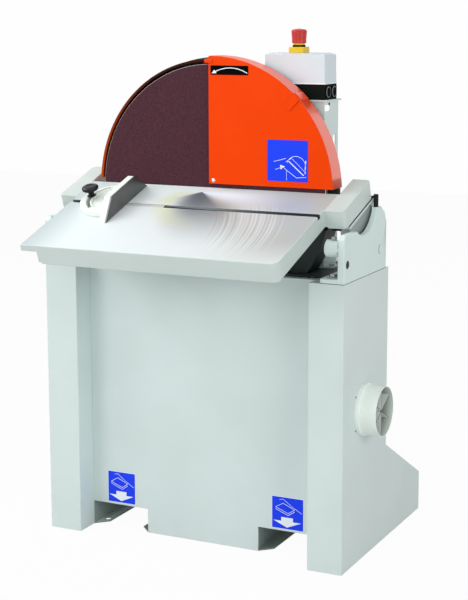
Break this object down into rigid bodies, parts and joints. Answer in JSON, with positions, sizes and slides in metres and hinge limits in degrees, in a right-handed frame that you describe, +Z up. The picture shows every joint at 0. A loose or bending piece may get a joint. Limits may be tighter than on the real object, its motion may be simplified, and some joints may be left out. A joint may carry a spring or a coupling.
{
  "type": "disc sander",
  "caption": "Floor-standing disc sander: sheet cabinet with fork pockets, tilting cast table with mitre gauge, half-covered disc, dust outlet, and a switch box with an emergency stop.",
  "frame": {"origin": "on the floor, at the centre of the four anchor holes", "axes": "+X to the operator's right, +Y to the rear along the spindle, +Z up"},
  "size_m": [0.853, 0.7577, 1.2617],
  "materials": {
    "cabinet_paint": "pale grey-green powder coat",
    "inner_paint": "dark paint in the machine's shade",
    "bracket_paint": "painted casting",
    "table_iron": "machined top, painted sides",
    "trunnion_iron": "machined",
    "bolt_steel": "zinc plated",
    "bright_steel": "ground",
    "core_steel": "laminated",
    "pad_brass": "turned",
    "pad_rubber": "matt",
    "knob_black": "satin",
    "abrasive": "grit bonded on cloth",
    "disc_aluminium": "turned",
    "motor_paint": "painted casting",
    "cowl_paint": "painted pressing",
    "guard_orange": "gloss powder coat",
    "box_black": "moulded",
    "box_grey": "moulded",
    "stop_red": "moulded",
    "stop_yellow": "moulded",
    "gauge_paint": "painted casting",
    "fence_grey": "anodised"
  },
  "bodies": {
    "cabinet": {"side_frame_left": "cabinet_paint", "side_frame_right": "cabinet_paint", "front_panel": "cabinet_paint", "pocket_walls": "cabinet_paint", "floor_pan": "cabinet_paint", "rear_panel": "cabinet_paint", "top_plate": "inner_paint", "bracket_left": "bracket_paint", "bracket_right": "bracket_paint", "bracket_bolts": "bolt_steel", "stop_screws": "bolt_steel", "lock_pads": "pad_brass", "bearings": "bright_steel", "front_shield": "motor_paint", "motor_housing": "motor_paint", "stator": "core_steel", "rear_shield": "motor_paint", "fan_cowl": "cowl_paint", "terminal_box": "cowl_paint", "motor_plate": "inner_paint", "plate_bolts": "bolt_steel", "rim_guard": "guard_orange", "guard_cover": "guard_orange", "cover_clips": "guard_orange", "cover_rivet": "bolt_steel", "disc_hood": "inner_paint", "dust_neck": "inner_paint", "dust_duct": "inner_paint", "dust_spigot": "cabinet_paint", "dust_spokes": "cabinet_paint", "switch_post": "cabinet_paint", "box_base": "box_black", "cable_glands": "knob_black", "box_cover": "box_grey", "stop_base": "stop_yellow", "stop_ring": "knob_black", "contact_block": "knob_black"},
    "lock_knob_left": {"lock_knob_left": "knob_black"},
    "lock_knob_right": {"lock_knob_right": "knob_black"},
    "tilt_table": {"table": "table_iron", "trunnion_left": "trunnion_iron", "trunnion_right": "trunnion_iron", "trunnion_screws": "bolt_steel", "ear_pads": "pad_rubber"},
    "spindle": {"abrasive_sheet": "abrasive", "disc_plate": "disc_aluminium", "disc_hub": "trunnion_iron", "hub_screws": "bolt_steel", "motor_shaft": "bright_steel", "rotor": "core_steel", "motor_fan": "knob_black"},
    "mitre_bar": {"mitre_bar": "bright_steel", "mitre_pin": "bright_steel"},
    "mitre_head": {"mitre_head": "gauge_paint", "mitre_fence": "fence_grey", "fence_screws": "bolt_steel"},
    "mitre_knob": {"mitre_knob": "knob_black"},
    "stop_plunger": {"stop_plunger": "knob_black", "stop_neck": "stop_yellow"},
    "stop_head": {"stop_head": "stop_red"}
  },
  "joints": [
    {"name": "table_tilt", "type": "hinge", "parent": "cabinet", "child": "tilt_table", "pos_m": [0, -0.152, 0.882], "axis": [1, 0, 0], "range_deg": [-18.8, 26.2]},
    {"name": "disc_spin", "type": "hinge", "parent": "cabinet", "child": "spindle", "pos_m": [0, -0.152, 0.878], "axis": [0, 1, 0], "continuous": true},
    {"name": "lock_left_turn", "type": "hinge", "parent": "cabinet", "child": "lock_knob_left", "pos_m": [-0.392, -0.063, 0.85], "axis": [0, 0, 1], "range_deg": [0, 180]},
    {"name": "lock_right_turn", "type": "hinge", "parent": "cabinet", "child": "lock_knob_right", "pos_m": [0.392, -0.063, 0.85], "axis": [0, 0, 1], "range_deg": [0, 180]},
    {"name": "mitre_slide", "type": "slide", "parent": "tilt_table", "child": "mitre_bar", "axis": [1, 0, 0], "range_m": [-0.04, 0.4]},
    {"name": "mitre_swing", "type": "hinge", "parent": "mitre_bar", "child": "mitre_head", "pos_m": [-0.196, -0.26512, 0.84349], "axis": [0, -0.3223, 0.9466], "range_deg": [-45, 45]},
    {"name": "mitre_clamp", "type": "hinge", "parent": "mitre_bar", "child": "mitre_knob", "pos_m": [-0.268, -0.26512, 0.84349], "axis": [0, -0.3223, 0.9466], "range_deg": [0, 180]},
    {"name": "stop_push", "type": "slide", "parent": "cabinet", "child": "stop_plunger", "axis": [0, 0, 1], "range_m": [-0.003, 0], "stiffness_N_per_m": 2000, "springref_m": 0.001},
    {"name": "stop_twist", "type": "hinge", "parent": "stop_plunger", "child": "stop_head", "pos_m": [0.184, -0.046, 1.24], "axis": [0, 0, 1], "range_deg": [0, 45], "stiffness_Nm_per_rad": 0.05}
  ]
}
